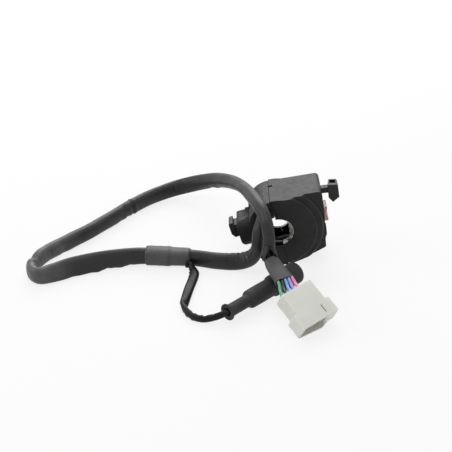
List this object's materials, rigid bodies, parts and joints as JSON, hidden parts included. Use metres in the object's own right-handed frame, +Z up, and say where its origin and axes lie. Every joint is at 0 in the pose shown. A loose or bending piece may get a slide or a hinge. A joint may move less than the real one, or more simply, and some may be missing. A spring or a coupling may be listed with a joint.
{
  "type": "handlebar switch cluster",
  "caption": "Two-piece handlebar switch cluster with turn lever, hazard rocker, horn button, pass trigger, and a sheathed wiring loom ending in a plug connector and a boot.",
  "frame": {"origin": "on the handlebar axis at the middle of the casing's length", "axes": "+Y along the bar towards its outer end, +Z up as it lies on a table, +X towards the rider"},
  "size_m": [0.2459, 0.2212, 0.0652],
  "materials": {
    "housing": "fine matt grain",
    "controls": "satin",
    "red_plastic": "semi-gloss",
    "screw_steel": "zinc plated",
    "zinc_plate": "bright zinc",
    "spring_steel": "bright",
    "brass": "satin",
    "phenolic": "satin",
    "black_nylon": "satin",
    "white_acetal": "semi-gloss",
    "rubber": "matt",
    "sheath": "satin vinyl",
    "tape": "satin tape",
    "inner_wire": "satin",
    "wire_green": "satin",
    "wire_white": "satin",
    "wire_black": "satin",
    "wire_blue": "satin",
    "wire_olive": "satin",
    "wire_navy": "satin",
    "wire_purple": "satin",
    "wire_pink": "satin",
    "clear_nylon": "slightly milky"
  },
  "bodies": {
    "casing": {"rear_case": "housing", "front_case": "housing", "trigger_pod": "housing", "case_screws": "screw_steel", "pod_screws": "screw_steel", "switch_plate": "zinc_plate", "plate_screws": "screw_steel", "turn_base": "phenolic", "turn_terminals": "brass", "rocker_pin": "screw_steel", "rocker_frame": "black_nylon", "rocker_terminals": "brass", "horn_base": "phenolic", "horn_terminals": "brass", "trigger_base": "phenolic", "trigger_terminals": "brass", "cable_grommet": "rubber", "inner_wires": "inner_wire", "harness_lead": "sheath", "junction_sleeve": "tape", "harness_loop": "sheath", "end_sleeve": "sheath", "wire_green": "wire_green", "wire_white": "wire_white", "wire_black": "wire_black", "wire_blue": "wire_blue", "wire_olive": "wire_olive", "wire_navy": "wire_navy", "wire_purple": "wire_purple", "wire_pink": "wire_pink", "connector_shell": "clear_nylon", "connector_terminals": "brass", "branch_lead": "sheath", "branch_boot": "rubber", "branch_plug": "black_nylon"},
    "lever": {"turn_lever": "controls", "lever_knob": "controls", "detent_spring": "spring_steel", "detent_ball": "spring_steel", "turn_contact": "brass"},
    "rocker": {"hazard_rocker": "red_plastic", "rocker_plunger": "white_acetal", "rocker_spring": "spring_steel"},
    "seesaw": {"rocker_seesaw": "brass"},
    "horn": {"horn_button": "controls", "horn_contact": "brass", "horn_spring": "spring_steel"},
    "trigger": {"pass_trigger": "controls", "trigger_contact": "brass", "trigger_spring": "spring_steel"}
  },
  "joints": [
    {"name": "turn_slide", "type": "slide", "parent": "casing", "child": "lever", "axis": [0, 1, 0], "range_m": [-0.004, 0.004]},
    {"name": "hazard_tilt", "type": "hinge", "parent": "casing", "child": "rocker", "pos_m": [0.03094, -0.0015, 0.00927], "axis": [0, 1, 0], "range_deg": [-8, 8]},
    {"name": "seesaw_tilt", "type": "hinge", "parent": "casing", "child": "seesaw", "pos_m": [0.0227, -0.0015, 0.00825], "axis": [0, 1, 0], "range_deg": [-9, 9]},
    {"name": "horn_push", "type": "slide", "parent": "casing", "child": "horn", "axis": [-0.9925, 0, -0.1219], "range_m": [0, 0.002], "stiffness_N_per_m": 400, "springref_m": -0.003, "deforming": ["horn_spring"]},
    {"name": "trigger_push", "type": "slide", "parent": "casing", "child": "trigger", "axis": [0.9563, 0, 0.2924], "range_m": [0, 0.0025], "stiffness_N_per_m": 400, "springref_m": -0.003, "deforming": ["trigger_spring"]}
  ],
  "couplings": [
    {"joint": "seesaw_tilt", "follows": "hazard_tilt", "ratio": -1.1}
  ]
}
